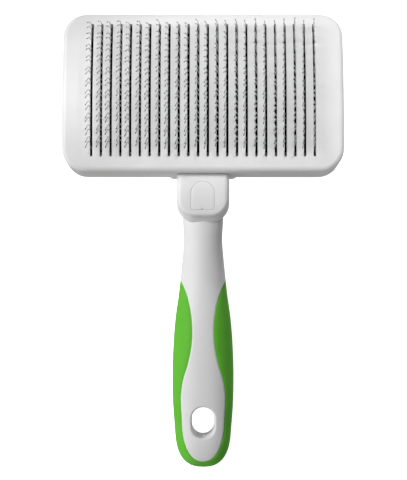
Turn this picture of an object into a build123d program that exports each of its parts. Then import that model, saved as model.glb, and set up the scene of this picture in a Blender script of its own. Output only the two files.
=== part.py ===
"""Self-cleaning slicker brush: a wide head of bent wire pins on an oval handle.

Lies on its back with the pins up. X runs across the head, +Y towards the head's top edge,
+Z the way the pins point. Pressing the push button on the back slides the slotted face
shell forward along the pins, which strips the hair off them; two springs bring it back.
"""
from build123d import *
from math import asin, cos, radians, sin, sqrt
import os

os.makedirs("parts", exist_ok=True)

# ---- driving dimensions, mm ---------------------------------------------------------------
OVERALL_L = 194.0
HEAD_W = 120.0
HEAD_L = 69.2
HEAD_CORNER = 10.0
HEAD_Y = OVERALL_L / 2 - HEAD_L / 2
FACE_Z = 41.5            # highest line of the face, which is an arc along Y
FACE_R = 170.0
FACE_T = 2.0
SKIRT_Z = 23.5           # lower edge of the face shell's skirt
SKIRT_T = 2.0
FRONT_FILLET = 2.2

ROWS = 24
ROW_PITCH = 4.12
SLOT_W = 0.9
SLOT_L = 57.8
SLOT_Y = HEAD_Y + 0.5
STAPLES = 11             # per row, two legs each
STAPLE_PITCH = 4.87
LEG_GAP = 1.9
PIN_R = 0.2
PIN_FIELD_Y = HEAD_Y + 2.9
KNEE_H = 4.6             # straight part above the face
TIP_L = 5.9              # bent part
TIP_BEND = 30.0          # degrees towards the handle

CUSHION_GAP = 0.8        # under the face plate
CUSHION_T = 3.0
BOARD_Z = 31.0           # flat underside of the pin board
GROOVE = 0.5

REAR_Z = 16.0            # outside of the rear shell's floor
REAR_T = 2.0
REAR_TOP_Z = 35.6
TELESCOPE_GAP = 0.35     # between the skirt and the rear shell's wall
TANG_W = 9.0             # the neck's tang, which the handle closes on
TANG_LOW, TANG_HIGH = -4.0, 1.0     # about the handle's middle plane
NOTCH_Z = 24.2           # top of the notch in the skirt over the tang

PUSHER_Z = 18.3
PUSHER_T = 2.2
BUTTON_W = 44.0
BUTTON_L = 26.0
BUTTON_WALL = 2.0
SPRING_X = 9.0
SPRING_R = 4.0
SPRING_WIRE = 0.9
SPRING_TURNS = 8

POST_SPOTS = [(x, HEAD_Y + y) for x in (-51.0, 51.0) for y in (-25.5, 25.5)]
BOARD_SPOTS = [(-36.0, HEAD_Y - 20), (36.0, HEAD_Y - 20), (-36.0, HEAD_Y + 20),
               (36.0, HEAD_Y + 20), (0.0, HEAD_Y - 24), (0.0, HEAD_Y + 24)]
BUTTON_SPOTS = [(-17.2, HEAD_Y), (17.2, HEAD_Y)]

HANDLE_TILT = 6.5        # degrees the handle drops behind the face
NECK_TOP_Y = HEAD_Y - HEAD_L / 2 - 0.4     # where the handle and its neck cap meet the head
ROOT_Y = 28.0            # origin of the handle's middle plane
ROOT_Z = 22.0
HANDLE_END = -126.4      # along the handle from its root
GRIP_T = 2.2
HANDLE_WALL = 2.2
HANGER_AT = -106.1       # centre of the hanging hole
HANGER_L = 13.4
HANGER_W = 9.8
CAP_FRONT = 11.0         # neck cap's front above the handle's middle plane
NECK_SCREW_AT = -8.4
HANDLE_SCREWS_AT = (-40.0, -90.0)

# The handle's middle plane: local x across, local y towards the head, local z to the front.
tilt = radians(HANDLE_TILT)
handle_plane = Plane(origin=(0, ROOT_Y, ROOT_Z), x_dir=(1, 0, 0), z_dir=(0, -sin(tilt), cos(tilt)))

# half width and half thickness of the handle at places along it
HANDLE_STATIONS = [(2.0, 9.4, 6.6), (-12.0, 9.2, 6.6), (-28.0, 8.5, 6.8), (-45.0, 10.0, 8.0),
                   (-62.0, 12.0, 9.8), (-82.0, 13.4, 10.3), (-98.0, 13.2, 9.2),
                   (-112.0, 12.2, 8.2), (-120.3, 10.4, 7.6)]


# ---- shared shapes ------------------------------------------------------------------------
def domed_block(width, length, corner, bottom_z, drop, centre_y=HEAD_Y):
    """Rounded block in the head whose top follows the face's arc, `drop` below it."""
    with BuildPart() as block:
        with BuildSketch(Plane.XY.offset(bottom_z)):
            with Locations((0, centre_y)):
                RectangleRounded(width, length, corner)
        extrude(amount=FACE_Z + 1 - bottom_z)
        with BuildSketch(Plane.YZ):
            with Locations((HEAD_Y, FACE_Z - FACE_R)):
                Circle(FACE_R - drop)
        extrude(amount=HEAD_W, both=True, mode=Mode.INTERSECT)
    return block.part


def row_x(row):
    return (row - (ROWS - 1) / 2) * ROW_PITCH


def staple_planes(row):
    """A plane on the face for each staple of a row, its z along the face's normal."""
    planes = []
    for i in range(STAPLES):
        y = PIN_FIELD_Y - HEAD_Y + (i - (STAPLES - 1) / 2) * STAPLE_PITCH
        lean = asin(y / FACE_R)
        origin = (row_x(row), HEAD_Y + y, FACE_Z - FACE_R + sqrt(FACE_R**2 - y**2))
        planes.append(Plane(origin=origin, x_dir=(1, 0, 0), z_dir=(0, sin(lean), cos(lean))))
    return planes


def slot_rows(length, centre_y, width, bottom_z, height):
    """The prisms of all rows' slots, as one tool."""
    with BuildPart() as rows:
        with BuildSketch(Plane.XY.offset(bottom_z)):
            with Locations((0, centre_y)):
                with GridLocations(ROW_PITCH, 1, ROWS, 1):
                    Rectangle(width, length)
        extrude(amount=height)
    return rows.part


def handle_body(inset=0.0, rounded_end=True):
    """The handle's outer form, or a smaller one inside it by `inset`."""
    with BuildPart() as body:
        for s, half_w, half_t in HANDLE_STATIONS:
            station = Plane(handle_plane.from_local_coords((0, s, 0)),
                            x_dir=(1, 0, 0), z_dir=handle_plane.y_dir)
            with BuildSketch(station):
                w, t = 2 * (half_w - inset), 2 * (half_t - inset)
                RectangleRounded(w, t, 0.42 * min(w, t))
        loft()
        last_s, _, last_t = HANDLE_STATIONS[-1]
        extrude(body.faces().sort_by(Axis.Y)[0], amount=last_s - HANDLE_END - inset)
        if rounded_end:
            fillet(body.faces().sort_by(Axis.Y)[0].edges(), 0.72 * (last_t - inset))
    return body.part


def panel_prism():
    """Everything inside the grip's inner border, seen square to the handle."""
    with BuildPart() as prism:
        with BuildSketch(handle_plane.offset(-20)):
            with BuildLine():
                side = Spline((11.2, -43.0), (7.8, -50.0), (4.7, -67.5), (8.6, -87.0),
                              (9.8, -96.0), (8.8, -109.5), (6.0, -119.0), (0, -122.8),
                              tangents=((-1, -2), (-1, 0)))
                top = Polyline((0, 8), (22, 8), (22, -30), (11.2, -43.0))
                mirror(side, about=Plane.YZ)
                mirror(top, about=Plane.YZ)
            make_face()
        extrude(amount=40)
    return prism.part


def hanger_prism(width, length):
    with BuildPart() as prism:
        with BuildSketch(handle_plane.offset(-20)):
            with Locations((0, HANGER_AT)):
                SlotOverall(length, width, rotation=90)
        extrude(amount=40)
    return prism.part


def screw(head_r, head_h, shank_r, length, countersunk=False):
    """Screw with its head's top on z=0 and its shank running down to -length."""
    with BuildPart() as body:
        with BuildSketch(Plane.XZ) as half:
            with BuildLine():
                rim = [(head_r, 0)] if countersunk else [(head_r, 0), (head_r, -head_h)]
                Polyline((0, 0), *rim, (shank_r, -head_h), (shank_r, -length + shank_r),
                         (0, -length), close=True)
            make_face()
        revolve(axis=Axis.Z)
        with BuildSketch(Plane.XY.offset(-0.6 * head_h)):
            Rectangle(1.3 * head_r, 0.45)
            Rectangle(0.45, 1.3 * head_r)
        extrude(amount=head_h, mode=Mode.SUBTRACT)
    return body.part


# ---- head: face shell, cushion, board and pins --------------------------------------------
with BuildPart() as face_shell:
    add(domed_block(HEAD_W, HEAD_L, HEAD_CORNER, SKIRT_Z, 0))
    fillet(face_shell.faces().sort_by(Axis.Z)[-1].edges(), FRONT_FILLET)
    add(domed_block(HEAD_W - 2 * SKIRT_T, HEAD_L - 2 * SKIRT_T, HEAD_CORNER - SKIRT_T,
                    SKIRT_Z - 1, FACE_T), mode=Mode.SUBTRACT)
    # four posts reach down to the pusher plate
    with BuildSketch(Plane.XY.offset(PUSHER_Z + PUSHER_T)):
        with Locations(*POST_SPOTS):
            Circle(3.0)
    extrude(amount=38.2 - PUSHER_Z - PUSHER_T)
    with BuildSketch(Plane.XY.offset(PUSHER_Z + PUSHER_T)):
        with Locations(*POST_SPOTS):
            Circle(1.0)
    extrude(amount=9, mode=Mode.SUBTRACT)
    with Locations((0, HEAD_Y - HEAD_L / 2, SKIRT_Z)):
        Box(TANG_W + 1.6, 3 * SKIRT_T, 2 * (NOTCH_Z - SKIRT_Z), mode=Mode.SUBTRACT)
    add(slot_rows(SLOT_L, SLOT_Y, SLOT_W, FACE_Z - 8, 12), mode=Mode.SUBTRACT)
face_shell.part.label = "face_shell"
export_step(face_shell.part, "parts/face_shell.step")

BOARD_W = 100.0
BOARD_L = HEAD_L - 2 * (SKIRT_T + TELESCOPE_GAP + REAR_T) - 0.8
CUSHION_L = BOARD_L - 4.1
BOARD_DROP = FACE_T + CUSHION_GAP + CUSHION_T

with BuildPart() as pin_board:
    add(domed_block(BOARD_W, BOARD_L, 4, BOARD_Z, BOARD_DROP))
    grooves = slot_rows(56, PIN_FIELD_Y, GROOVE, BOARD_Z, 12)
    add(grooves - domed_block(BOARD_W, BOARD_L, 4, BOARD_Z - 1, BOARD_DROP + GROOVE),
        mode=Mode.SUBTRACT)
    with Locations(*[(x, y, BOARD_Z) for x, y in POST_SPOTS]):
        Cylinder(3.6, 30, mode=Mode.SUBTRACT)
    with Locations(*[(x, y, BOARD_Z) for x, y in BOARD_SPOTS]):
        Cylinder(0.9, 2 * 2.5, mode=Mode.SUBTRACT)
pin_board.part.label = "pin_board"
export_step(pin_board.part, "parts/pin_board.step")

with BuildPart() as pin_cushion:
    add(domed_block(BOARD_W, CUSHION_L, 4, BOARD_Z, FACE_T + CUSHION_GAP, HEAD_Y + 1.8))
    add(domed_block(BOARD_W + 4, BOARD_L + 4, 4, BOARD_Z - 1, BOARD_DROP), mode=Mode.SUBTRACT)
    with Locations(*[(x, y, BOARD_Z) for x, y in POST_SPOTS]):
        Cylinder(3.6, 30, mode=Mode.SUBTRACT)
    # pierced along each row, a little wider than the wire
    add(slot_rows(52.5, PIN_FIELD_Y, GROOVE, BOARD_Z, 12), mode=Mode.SUBTRACT)
pin_cushion.part.label = "pin_cushion"
export_step(pin_cushion.part, "parts/pin_cushion.step")

# one staple: a crown under the cushion and two legs, bent towards the handle above the face
crown_z = -(BOARD_DROP + GROOVE / 2)
bend = radians(TIP_BEND)
tip_y, tip_z = -TIP_L * sin(bend), KNEE_H + TIP_L * cos(bend)
with BuildPart() as staple:
    with BuildLine(Plane.YZ) as wire:
        FilletPolyline((-LEG_GAP / 2 + tip_y, tip_z), (-LEG_GAP / 2, KNEE_H),
                       (-LEG_GAP / 2, crown_z), (LEG_GAP / 2, crown_z),
                       (LEG_GAP / 2, KNEE_H), (LEG_GAP / 2 + tip_y, tip_z), radius=0.45)
    with BuildSketch(Plane(wire.line @ 0, z_dir=wire.line % 0)):
        Circle(PIN_R)
    sweep(path=wire.line)

for row in range(ROWS):
    name = f"pin_row_{row + 1:02d}"
    with BuildPart() as pin_row:
        with Locations(*staple_planes(row)):
            add(staple.part)
    pin_row.part.label = name
    export_step(pin_row.part, f"parts/{name}.step")

# ---- head: rear shell ---------------------------------------------------------------------
TRAY_IN = SKIRT_T + TELESCOPE_GAP
tray_w, tray_l = HEAD_W - 2 * TRAY_IN, HEAD_L - 2 * TRAY_IN
NECK_W = 30.4
NECK_DROP = 2.5          # from the shell's floor up to the neck socket

with BuildPart() as rear_shell:
    with BuildSketch(Plane.XY.offset(REAR_Z)):
        with Locations((0, HEAD_Y)):
            RectangleRounded(tray_w, tray_l, HEAD_CORNER - TRAY_IN)
    extrude(amount=REAR_TOP_Z - REAR_Z)
    fillet(rear_shell.faces().sort_by(Axis.Z)[0].edges(), 3.5)
    # neck socket below the skirt, and the tang that the handle closes on
    with BuildSketch(Plane.XY.offset(REAR_Z + NECK_DROP)) as socket:
        with Locations((0, HEAD_Y - HEAD_L / 2 + 2.6)):
            Rectangle(NECK_W, 5)
        fillet(socket.vertices().group_by(Axis.Y)[0], 2.6)
    extrude(amount=SKIRT_Z - REAR_Z - NECK_DROP - 0.4)
    with BuildSketch(handle_plane.offset(TANG_LOW)):
        with Locations((0, -7.75)):
            Rectangle(TANG_W, 24.5)
    extrude(amount=TANG_HIGH - TANG_LOW)
    with BuildSketch(Plane.XY.offset(REAR_Z + REAR_T)):
        with Locations((0, HEAD_Y)):
            RectangleRounded(tray_w - 2 * REAR_T, tray_l - 2 * REAR_T,
                             HEAD_CORNER - TRAY_IN - REAR_T)
    extrude(amount=40, mode=Mode.SUBTRACT)
    with BuildSketch(handle_plane.offset(TANG_LOW)):
        with Locations((0, NECK_SCREW_AT)):
            Circle(1.6)
    extrude(amount=TANG_HIGH - TANG_LOW, mode=Mode.SUBTRACT)
    # posts for the pin board, drilled for its screws
    with BuildSketch(Plane.XY.offset(REAR_Z + 1)):
        with Locations(*BOARD_SPOTS):
            Circle(3.2)
    extrude(amount=BOARD_Z - REAR_Z - 1)
    with BuildSketch(Plane.XY.offset(REAR_Z)):
        with Locations(*BOARD_SPOTS):
            Circle(1.2)
    extrude(amount=20, mode=Mode.SUBTRACT)
    with BuildSketch(Plane.XY.offset(REAR_Z)):
        with Locations(*BOARD_SPOTS):
            Circle(2.4)
    extrude(amount=3, mode=Mode.SUBTRACT)
    # opening for the push button
    with BuildSketch(Plane.XY.offset(REAR_Z)):
        with Locations((0, HEAD_Y)):
            SlotOverall(BUTTON_W + 0.8, BUTTON_L + 0.8)
    extrude(amount=REAR_T, mode=Mode.SUBTRACT)
rear_shell.part.label = "rear_shell"
export_step(rear_shell.part, "parts/rear_shell.step")

# ---- moving parts behind the board --------------------------------------------------------
with BuildPart() as pusher_plate:
    with BuildSketch(Plane.XY.offset(PUSHER_Z)):
        with Locations((0, HEAD_Y)):
            RectangleRounded(tray_w - 2 * REAR_T - 1.3, tray_l - 2 * REAR_T - 1.3, 5)
        with Locations(*BOARD_SPOTS):
            Circle(3.7, mode=Mode.SUBTRACT)
        with Locations((-SPRING_X, HEAD_Y), (SPRING_X, HEAD_Y)):
            Circle(SPRING_R + 1.4, mode=Mode.SUBTRACT)
        with Locations((-30, HEAD_Y), (30, HEAD_Y)):
            RectangleRounded(10, 22, 2, mode=Mode.SUBTRACT)
    extrude(amount=PUSHER_T)
    with Locations(*[Location((x, y, PUSHER_Z), (180, 0, 0)) for x, y in POST_SPOTS]):
        CounterSinkHole(1.25, 2.3, depth=PUSHER_T)
    with Locations(*[(x, y, PUSHER_Z + PUSHER_T) for x, y in BUTTON_SPOTS]):
        CounterSinkHole(1.1, 2.0, depth=PUSHER_T)
pusher_plate.part.label = "pusher_plate"
export_step(pusher_plate.part, "parts/pusher_plate.step")

with BuildPart() as push_button:
    with BuildSketch(Plane.XY):
        with Locations((0, HEAD_Y)):
            SlotOverall(BUTTON_W, BUTTON_L)
    extrude(amount=PUSHER_Z)
    fillet(push_button.faces().sort_by(Axis.Z)[0].edges(), 3.0)
    with BuildSketch(Plane.XY.offset(BUTTON_WALL)):
        with Locations((0, HEAD_Y)):
            SlotOverall(BUTTON_W - 2 * BUTTON_WALL, BUTTON_L - 2 * BUTTON_WALL)
    extrude(amount=PUSHER_Z, mode=Mode.SUBTRACT)
    with BuildSketch(Plane.XY.offset(BUTTON_WALL - 0.5)):
        with Locations(*BUTTON_SPOTS):
            Circle(2.4)
    extrude(amount=PUSHER_Z - BUTTON_WALL + 0.5)
    with BuildSketch(Plane.XY.offset(PUSHER_Z)):
        with Locations(*BUTTON_SPOTS):
            Circle(0.9)
    extrude(amount=-9, mode=Mode.SUBTRACT)
push_button.part.label = "push_button"
export_step(push_button.part, "parts/push_button.step")

spring_low = BUTTON_WALL + SPRING_WIRE / 2 + 0.1
spring_high = BOARD_Z - SPRING_WIRE / 2 - 0.1
for side, name in ((-1, "return_spring_left"), (1, "return_spring_right")):
    with BuildPart() as return_spring:
        with BuildLine() as coil:
            Helix(pitch=(spring_high - spring_low) / SPRING_TURNS, height=spring_high - spring_low,
                  radius=SPRING_R, center=(side * SPRING_X, HEAD_Y, spring_low))
        with BuildSketch(Plane(coil.line @ 0, z_dir=coil.line % 0)):
            Circle(SPRING_WIRE / 2)
        sweep(path=coil.line, is_frenet=True)
    return_spring.part.label = name
    export_step(return_spring.part, f"parts/{name}.step")

# ---- fasteners of the head ----------------------------------------------------------------
board_screw = screw(2.2, 1.6, 0.9, 16.0)
with BuildPart() as board_screws:
    with Locations(*[Location((x, y, REAR_Z + 1.4), (180, 0, 0)) for x, y in BOARD_SPOTS]):
        add(board_screw)
board_screws.part.label = "board_screws"
export_step(board_screws.part, "parts/board_screws.step")

post_screw = screw(2.2, 1.2, 1.0, 9.0, countersunk=True)
with BuildPart() as post_screws:
    with Locations(*[Location((x, y, PUSHER_Z), (180, 0, 0)) for x, y in POST_SPOTS]):
        add(post_screw)
post_screws.part.label = "post_screws"
export_step(post_screws.part, "parts/post_screws.step")

button_screw = screw(1.9, 1.0, 0.9, 9.0, countersunk=True)
with BuildPart() as button_screws:
    with Locations(*[(x, y, PUSHER_Z + PUSHER_T) for x, y in BUTTON_SPOTS]):
        add(button_screw)
button_screws.part.label = "button_screws"
export_step(button_screws.part, "parts/button_screws.step")

# ---- handle -------------------------------------------------------------------------------
blank = handle_body()
core = handle_body(GRIP_T)
panel = panel_prism()
hanger = hanger_prism(HANGER_W, HANGER_L)

with BuildPart() as grip:
    add(blank)
    add(panel, mode=Mode.SUBTRACT)
    add(core, mode=Mode.SUBTRACT)
grip.part.label = "grip"
export_step(grip.part, "parts/grip.step")

with BuildPart() as handle_solid:
    add(blank)
    add(panel, mode=Mode.INTERSECT)
    add(core)
    add(hanger, mode=Mode.SUBTRACT)
    # pocket for the rear shell's tang
    with BuildSketch(handle_plane.offset(TANG_LOW - 0.1)):
        with Locations((0, -9)):
            Rectangle(TANG_W + 0.3, 22.4)
    extrude(amount=TANG_HIGH - TANG_LOW + 0.2, mode=Mode.SUBTRACT)
    # nothing of the handle reaches into the head
    with BuildSketch(Plane.XZ.offset(-NECK_TOP_Y)):
        Rectangle(60, 120)
    extrude(amount=-20, mode=Mode.SUBTRACT)

# hollow between the neck and the hanging hole, around the screw bosses
with BuildPart() as hollow:
    add(handle_body(GRIP_T + HANDLE_WALL, rounded_end=False))
    with BuildSketch(handle_plane.offset(-20)):
        with Locations((0, -61)):
            Rectangle(60, 66)
    extrude(amount=40, mode=Mode.INTERSECT)
    with BuildSketch(handle_plane.offset(-20)):
        with Locations(*[(0, s) for s in HANDLE_SCREWS_AT]):
            Circle(3.0)
    extrude(amount=40, mode=Mode.SUBTRACT)

for front, name in ((1, "handle_front_half"), (-1, "handle_rear_half")):
    with BuildPart() as half:
        add(handle_solid.part)
        with BuildSketch(handle_plane):
            with Locations((0, -60)):
                Rectangle(60, 160)
        extrude(amount=20 * front, mode=Mode.INTERSECT)
        add(hollow.part, mode=Mode.SUBTRACT)
        with BuildSketch(handle_plane):
            with Locations(*[(0, s) for s in HANDLE_SCREWS_AT]):
                Circle(0.9 if front > 0 else 1.3)
        extrude(amount=5 * front if front > 0 else -20, mode=Mode.SUBTRACT)
        if front > 0:
            with BuildSketch(handle_plane):
                with Locations((0, NECK_SCREW_AT)):
                    Circle(1.7)
            extrude(amount=20, mode=Mode.SUBTRACT)
        else:
            with BuildSketch(handle_plane.offset(-4)):
                with Locations(*[(0, s) for s in HANDLE_SCREWS_AT]):
                    Circle(2.8)
            extrude(amount=-20, mode=Mode.SUBTRACT)
            with BuildSketch(handle_plane):
                with Locations((0, NECK_SCREW_AT)):
                    Circle(1.2)
            extrude(amount=-5.6, mode=Mode.SUBTRACT)
    half.part.label = name
    export_step(half.part, f"parts/{name}.step")

# ---- neck cap, its screw plug and the handle's screws --------------------------------------
def handle_place(s, off, flip=False):
    """Plane on the handle's centre line at `s`, `off` above the middle, z to the front or back."""
    z_dir = -handle_plane.z_dir if flip else handle_plane.z_dir
    return Plane(handle_plane.from_local_coords((0, s, off)), x_dir=(1, 0, 0), z_dir=z_dir)


ARCH_R = 5.2
ARCH_CENTRE = -7.6
ARCH_FOOT = -14.7
PLUG_T = 2.0


def arch_face(off, gap):
    """Arched outline on the neck cap, smaller all round by `gap`."""
    with BuildSketch(handle_plane.offset(off)) as arch:
        with Locations((0, ARCH_CENTRE)):
            Circle(ARCH_R - gap)
        with Locations((0, (ARCH_CENTRE + ARCH_FOOT + gap) / 2)):
            Rectangle(2 * (ARCH_R - gap), ARCH_CENTRE - ARCH_FOOT - gap)
        foot = arch.vertices().group_by(Axis.Y)[0]
        fillet(foot, 0.8)
    return arch.sketch


with BuildPart() as neck_cap:
    with BuildSketch(Plane.YZ):
        with BuildLine():
            low = handle_plane.from_local_coords((0, -19.6, 1.0))
            lip = handle_plane.from_local_coords((0, -19.6, 6.4))
            brow = handle_plane.from_local_coords((0, -17.0, CAP_FRONT))
            top = handle_plane.from_local_coords((0, CAP_FRONT * sin(tilt), CAP_FRONT))
            Polyline((low.Y, low.Z), (lip.Y, lip.Z), (brow.Y, brow.Z), (NECK_TOP_Y, top.Z),
                     (NECK_TOP_Y, low.Z + 2.2), close=True)
        make_face()
    extrude(amount=11.3, both=True)
    sides = neck_cap.faces().filter_by(Axis.X).edges()
    fillet(sides.group_by(Axis.Y)[0] + sides.group_by(Axis.Y)[1], 4.6)
    top_edges = neck_cap.edges().filter_by(Axis.Z).group_by(Axis.Y)[-1]
    fillet(top_edges, 1.6)
    front = neck_cap.faces().sort_by(Axis.Z)[-1]
    fillet(front.edges(), 1.2)
    add(blank, mode=Mode.SUBTRACT)
    extrude(arch_face(CAP_FRONT - PLUG_T - 0.2, 0), amount=6, mode=Mode.SUBTRACT)
    with Locations(handle_place(NECK_SCREW_AT, CAP_FRONT - PLUG_T - 0.2)):
        CounterSinkHole(1.45, 2.9, depth=6)
neck_cap.part.label = "neck_cap"
export_step(neck_cap.part, "parts/neck_cap.step")

with BuildPart() as screw_plug:
    extrude(arch_face(CAP_FRONT - 0.1, 0.2), amount=-PLUG_T)
    with BuildSketch(handle_plane.offset(CAP_FRONT - 0.1)):
        with Locations((0, ARCH_FOOT + 0.2)):
            Circle(1.0)
    extrude(amount=-PLUG_T, mode=Mode.SUBTRACT)
screw_plug.part.label = "screw_plug"
export_step(screw_plug.part, "parts/screw_plug.step")

with BuildPart() as neck_screw:
    with Locations(handle_place(NECK_SCREW_AT, CAP_FRONT - PLUG_T - 0.3)):
        add(screw(2.8, 1.4, 1.2, 13.8, countersunk=True))
neck_screw.part.label = "neck_screw"
export_step(neck_screw.part, "parts/neck_screw.step")

with BuildPart() as handle_screws:
    with Locations(*[handle_place(s, -5.8, flip=True) for s in HANDLE_SCREWS_AT]):
        add(screw(2.6, 1.8, 0.9, 10.4))
handle_screws.part.label = "handle_screws"
export_step(handle_screws.part, "parts/handle_screws.step")
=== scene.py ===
"""Looks of the self-cleaning slicker brush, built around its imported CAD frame.

Lengths are in millimetres in the frame's own axes (X across the head, +Y towards the head's top
edge, +Z the way the pins point) and are turned into metres when a mesh is made.
"""
import math

import bmesh
import bpy
from mathutils import Matrix, Vector


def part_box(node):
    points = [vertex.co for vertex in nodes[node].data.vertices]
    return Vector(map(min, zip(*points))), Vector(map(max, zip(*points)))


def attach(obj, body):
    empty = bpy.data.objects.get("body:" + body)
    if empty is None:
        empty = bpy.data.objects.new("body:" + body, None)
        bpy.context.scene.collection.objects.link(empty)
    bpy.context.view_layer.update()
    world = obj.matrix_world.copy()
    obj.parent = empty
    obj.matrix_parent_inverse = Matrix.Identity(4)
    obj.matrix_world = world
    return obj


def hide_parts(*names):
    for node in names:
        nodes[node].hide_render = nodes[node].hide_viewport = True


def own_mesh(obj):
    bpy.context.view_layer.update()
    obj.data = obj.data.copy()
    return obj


MM = 0.001
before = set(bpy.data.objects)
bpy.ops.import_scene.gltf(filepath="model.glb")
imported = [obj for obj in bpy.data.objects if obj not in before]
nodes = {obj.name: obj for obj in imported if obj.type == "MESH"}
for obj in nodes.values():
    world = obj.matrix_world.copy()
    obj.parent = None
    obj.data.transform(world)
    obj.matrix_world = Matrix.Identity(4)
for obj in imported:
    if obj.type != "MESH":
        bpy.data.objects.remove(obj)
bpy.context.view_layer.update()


# ---- driving dimensions, mm ---------------------------------------------------------------
shell_low, shell_high = (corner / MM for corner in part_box("face_shell"))
HEAD_Y = (shell_low.y + shell_high.y) / 2
HEAD_W = shell_high.x - shell_low.x
HEAD_L = shell_high.y - shell_low.y
FACE_Z = shell_high.z
SKIRT_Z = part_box("rear_shell")[0].z / MM + 7.5
FACE_R = 170.0
FACE_T = 2.0
SKIRT_T = 2.0
HEAD_CORNER = 10.0
FRONT_FILLET = 2.2
CORNER_FROM_SIDE = 0.55  # parts of the slotted field's half sides whose points stay straight;
CORNER_FROM_END = 0.62   # the rest go round the head's corners

ROWS = 24
ROW_PITCH = 4.12
SLOT_W = 1.02
SLOT_L = 57.8
SLOT_AT = 0.5            # the slots' centre above the head's centre
SLOT_RIM = 0.07

STAPLES = 11
STAPLE_PITCH = 4.87
LEG_GAP = 1.9
PIN_R = 0.2
PIN_FIELD = 2.9          # the pins' centre above the head's centre
KNEE_H = 4.35
TIP_L = 5.9
TIP_BEND = 30.0
PIN_SIDE = 0.12          # sideways lean of a pin, per mm above the face
CROWN_DROP = 6.05
POST_X, POST_Y, POST_R = 51.0, 25.5, 3.0
POST_FOOT = 20.5
NOTCH_W = 5.3            # notch in the skirt over the neck's tang
NOTCH_Z = 24.2

NECK_TOP_Y = HEAD_Y - HEAD_L / 2 - 0.18
ROOT_Y = 28.0
ROOT_Z = 22.0
TILT = math.radians(6.5)
HANDLE_END = -126.4
GRIP_T = 2.2
GRIP_FROM = -42.7        # the grip's two tips
PANEL_END = -123.2
HANGER_AT = -106.1
HANGER_L = 13.4
HANGER_W = 9.8


# ---- small helpers ------------------------------------------------------------------------
def make_piece(name, verts, faces, body, replaced, slot, smooth_angle=40.0):
    """A mesh object from millimetre vertices, riding on a body in place of CAD nodes."""
    mesh = bpy.data.meshes.new(name)
    bm = bmesh.new()
    points = [bm.verts.new(Vector(v) * MM) for v in verts]
    for face in faces:
        corners = list(dict.fromkeys(face))
        if len(corners) > 2:
            bm.faces.new([points[i] for i in corners])
    bmesh.ops.remove_doubles(bm, verts=bm.verts, dist=2e-7)
    bmesh.ops.dissolve_degenerate(bm, edges=bm.edges, dist=1e-7)
    bmesh.ops.recalc_face_normals(bm, faces=bm.faces)
    bm.to_mesh(mesh)
    bm.free()
    piece = bpy.data.objects.new(name, mesh)
    bpy.context.scene.collection.objects.link(piece)
    smooth(piece, smooth_angle)
    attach(piece, body)
    if replaced:
        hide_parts(*replaced)
    return piece


def smooth(piece, angle):
    piece.data.shade_smooth()
    piece.data.set_sharp_from_angle(angle=math.radians(angle))


def through(stations, at):
    """Smooth curve through (place, value) stations, read at one place."""
    stations = sorted(stations)
    if at <= stations[0][0]:
        return stations[0][1]
    if at >= stations[-1][0]:
        return stations[-1][1]
    i = max(k for k in range(len(stations) - 1) if stations[k][0] <= at)

    def slope(k):
        a, b = stations[max(k - 1, 0)], stations[min(k + 1, len(stations) - 1)]
        return (b[1] - a[1]) / (b[0] - a[0])

    (x0, y0), (x1, y1) = stations[i], stations[i + 1]
    h = x1 - x0
    t = (at - x0) / h
    return (y0 * (1 + 2 * t) * (1 - t)**2 + slope(i) * h * t * (1 - t)**2
            + y1 * t * t * (3 - 2 * t) + slope(i + 1) * h * t * t * (t - 1))


def spread(a, b, count):
    return [a + (b - a) * i / (count - 1) for i in range(count)]


def wobble(*keys):
    """A repeatable number from -1 to 1 for a set of whole numbers."""
    n = 0
    for key in keys:
        n = (n * 31 + key * 7919 + 101) % 104729
    return math.sin(n * 12.9898) * 43758.5453 % 2 - 1


def stitch(loop_a, loop_b, closed=True):
    """Quads between two loops of as many vertex numbers."""
    count = len(loop_a)
    last = count if closed else count - 1
    return [(loop_a[i], loop_a[(i + 1) % count], loop_b[(i + 1) % count], loop_b[i])
            for i in range(last)]


# ---- materials ----------------------------------------------------------------------------
def new_material(name):
    material = bpy.data.materials.new(name)
    material.use_nodes = True
    tree = material.node_tree
    shader = tree.nodes["Principled BSDF"]
    return material, tree, shader


def add_bump(tree, shader, scale, strength, distance, detail=3.0):
    place = tree.nodes.new("ShaderNodeTexCoord")
    noise = tree.nodes.new("ShaderNodeTexNoise")
    noise.inputs["Scale"].default_value = scale
    noise.inputs["Detail"].default_value = detail
    bump = tree.nodes.new("ShaderNodeBump")
    bump.inputs["Strength"].default_value = strength
    bump.inputs["Distance"].default_value = distance
    tree.links.new(place.outputs["Object"], noise.inputs["Vector"])
    tree.links.new(noise.outputs["Fac"], bump.inputs["Height"])
    tree.links.new(bump.outputs["Normal"], shader.inputs["Normal"])
    return place, noise


def add_mottle(tree, shader, place, scale, dark, light, socket="Base Color"):
    """Faint low-contrast variation between two colours or two values."""
    noise = tree.nodes.new("ShaderNodeTexNoise")
    noise.inputs["Scale"].default_value = scale
    noise.inputs["Detail"].default_value = 4.0
    ramp = tree.nodes.new("ShaderNodeValToRGB")
    ramp.color_ramp.elements[0].position = 0.35
    ramp.color_ramp.elements[1].position = 0.65
    ramp.color_ramp.elements[0].color = dark
    ramp.color_ramp.elements[1].color = light
    tree.links.new(place.outputs["Object"], noise.inputs["Vector"])
    tree.links.new(noise.outputs["Fac"], ramp.inputs["Fac"])
    tree.links.new(ramp.outputs["Color"], shader.inputs[socket])


def grey(value):
    return (value, value, value, 1.0)


def plastic(name, dark, light, roughness, grain=0.05):
    """Moulded plastic: a fine satin grain and barely uneven gloss."""
    material, tree, shader = new_material(name)
    place, _ = add_bump(tree, shader, 2600.0, grain, 0.00003)
    add_mottle(tree, shader, place, 60.0, dark, light)
    add_mottle(tree, shader, place, 220.0, grey(roughness - 0.03), grey(roughness + 0.05),
               "Roughness")
    shader.inputs["IOR"].default_value = 1.5
    shader.inputs["Specular IOR Level"].default_value = 0.35
    return material


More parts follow.
